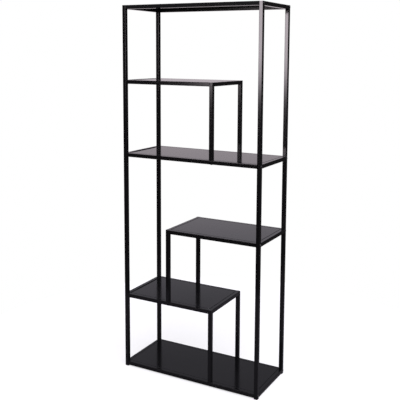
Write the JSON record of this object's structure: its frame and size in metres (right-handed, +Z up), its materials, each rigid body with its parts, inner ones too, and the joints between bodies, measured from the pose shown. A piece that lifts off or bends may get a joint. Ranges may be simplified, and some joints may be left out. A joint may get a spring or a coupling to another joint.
{
  "type": "zigzag bookshelf",
  "caption": "Tall open bookshelf of slim black square tube, with sheet steel shelves that step from side to side, each short one ending on legs that stand on the shelf below.",
  "frame": {"origin": "on the floor, under the middle of the bookshelf", "axes": "+Z up, +X to the right seen from the front, +Y from the front to the back"},
  "size_m": [0.7618, 0.317, 1.85],
  "materials": {
    "tube_coat": "satin black powder coat on square steel tube",
    "sheet_coat": "satin black powder coat on folded steel sheet",
    "bolt_finish": "black coated steel bolt",
    "nut_steel": "bright zinc on steel",
    "glide_plastic": "black moulded plastic"
  },
  "bodies": {
    "root": {"front_left_post": "tube_coat", "front_right_post": "tube_coat", "back_left_post": "tube_coat", "back_right_post": "tube_coat", "top_left_rail": "tube_coat", "top_right_rail": "tube_coat", "upper_left_shelf_left_rail": "tube_coat", "middle_shelf_left_rail": "tube_coat", "middle_shelf_right_rail": "tube_coat", "right_shelf_right_rail": "tube_coat", "lower_left_shelf_left_rail": "tube_coat", "bottom_shelf_left_rail": "tube_coat", "bottom_shelf_right_rail": "tube_coat", "top_front_rail": "tube_coat", "top_back_rail": "tube_coat", "upper_left_shelf_front_rail": "tube_coat", "upper_left_shelf_back_rail": "tube_coat", "middle_shelf_front_rail": "tube_coat", "middle_shelf_back_rail": "tube_coat", "right_shelf_front_rail": "tube_coat", "right_shelf_back_rail": "tube_coat", "lower_left_shelf_front_rail": "tube_coat", "lower_left_shelf_back_rail": "tube_coat", "bottom_shelf_front_rail": "tube_coat", "bottom_shelf_back_rail": "tube_coat", "upper_divider_front_leg": "tube_coat", "upper_divider_back_leg": "tube_coat", "upper_divider_end_rail": "tube_coat", "middle_divider_front_leg": "tube_coat", "middle_divider_back_leg": "tube_coat", "middle_divider_end_rail": "tube_coat", "lower_divider_front_leg": "tube_coat", "lower_divider_back_leg": "tube_coat", "lower_divider_end_rail": "tube_coat", "top_panel": "sheet_coat", "upper_left_shelf_panel": "sheet_coat", "middle_shelf_panel": "sheet_coat", "right_shelf_panel": "sheet_coat", "lower_left_shelf_panel": "sheet_coat", "bottom_shelf_panel": "sheet_coat", "front_left_glide": "glide_plastic", "front_right_glide": "glide_plastic", "back_left_glide": "glide_plastic", "back_right_glide": "glide_plastic", "post_bolts": "bolt_finish", "divider_bolts": "bolt_finish", "rail_end_nuts": "nut_steel", "divider_foot_nuts": "nut_steel", "tube_end_caps": "tube_coat"}
  },
  "joints": []
}
